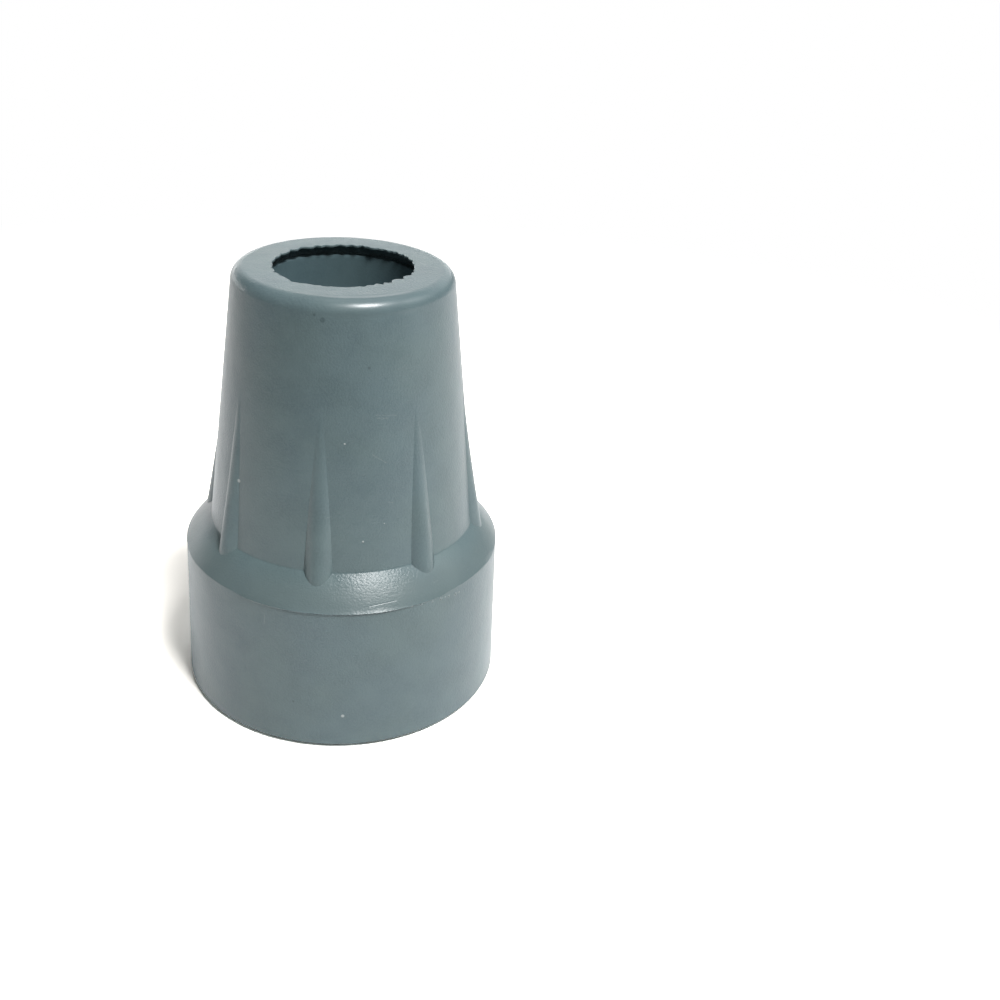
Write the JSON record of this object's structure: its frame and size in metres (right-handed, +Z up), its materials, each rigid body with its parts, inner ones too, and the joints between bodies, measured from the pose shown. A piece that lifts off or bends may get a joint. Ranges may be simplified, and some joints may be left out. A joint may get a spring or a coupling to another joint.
{
  "type": "rubber cane tip",
  "caption": "Moulded rubber tip for a walking stick: a tapered socket sleeve with ribs, on a broad flared foot whose dished and ringed sole grips the ground.",
  "frame": {"origin": "centre of the sole, on the ground that the foot's outer ring stands on", "axes": "+Z up along the axis of the socket, out of its mouth; -Y runs through one of the ribs, towards the viewer; +X to the viewer's right"},
  "size_m": [0.045, 0.045, 0.0604],
  "materials": {
    "rubber": "satin blue-grey moulded rubber"
  },
  "bodies": {
    "root": {"cane_tip": "rubber"}
  },
  "joints": []
}
